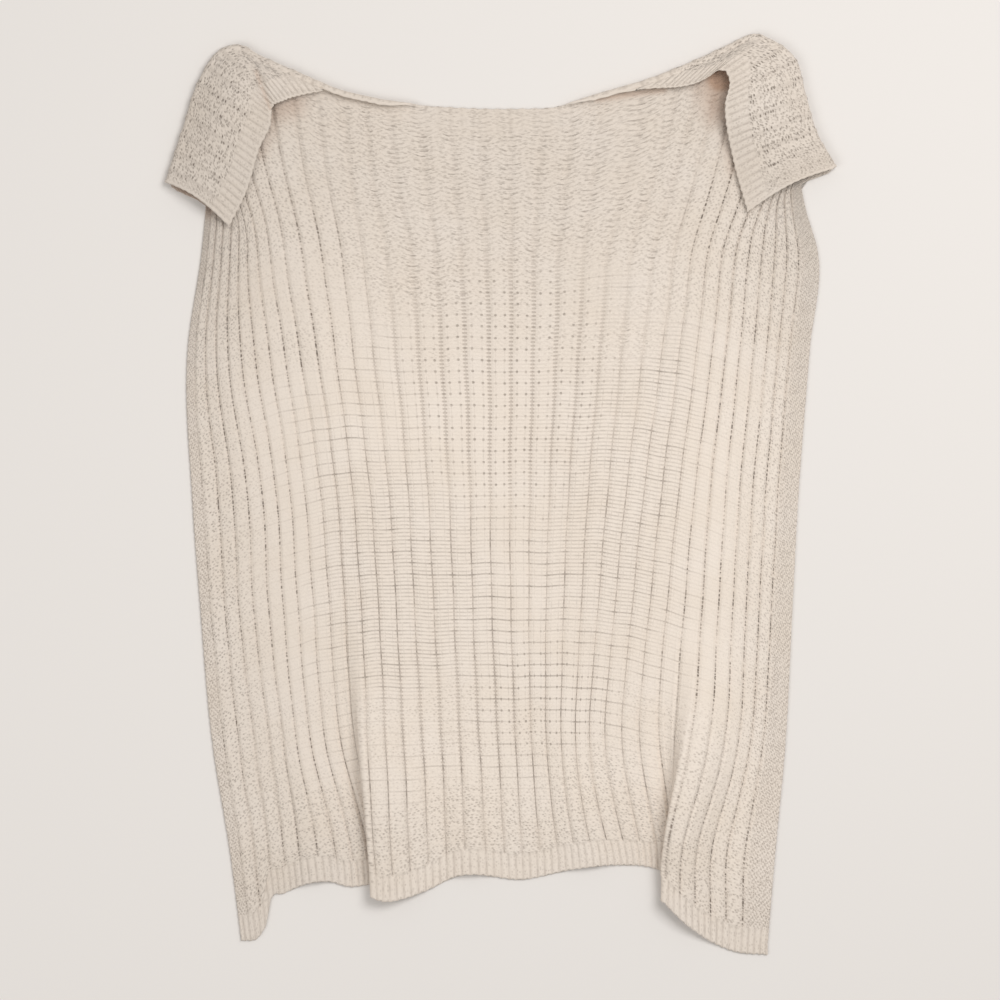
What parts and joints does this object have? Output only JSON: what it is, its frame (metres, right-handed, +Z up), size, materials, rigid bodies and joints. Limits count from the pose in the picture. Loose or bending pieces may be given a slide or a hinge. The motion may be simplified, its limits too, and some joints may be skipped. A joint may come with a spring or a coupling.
{
  "type": "chunky knit throw blanket",
  "caption": "Chunky ribbed knit throw laid out face up, with both top corners folded forward over the face and two soft overlapping pleats in the hem",
  "frame": {"origin": "centre of the bounding box, at the level of the surface that the throw lies on", "axes": "+Y from the hem to the folded top, +X to the right seen from above, +Z up out of the face"},
  "size_m": [1.275, 1.7477, 0.0583],
  "materials": {
    "yarn": "soft matte cotton knit, warm off-white"
  },
  "bodies": {
    "root": {"blanket": "yarn"}
  },
  "joints": []
}
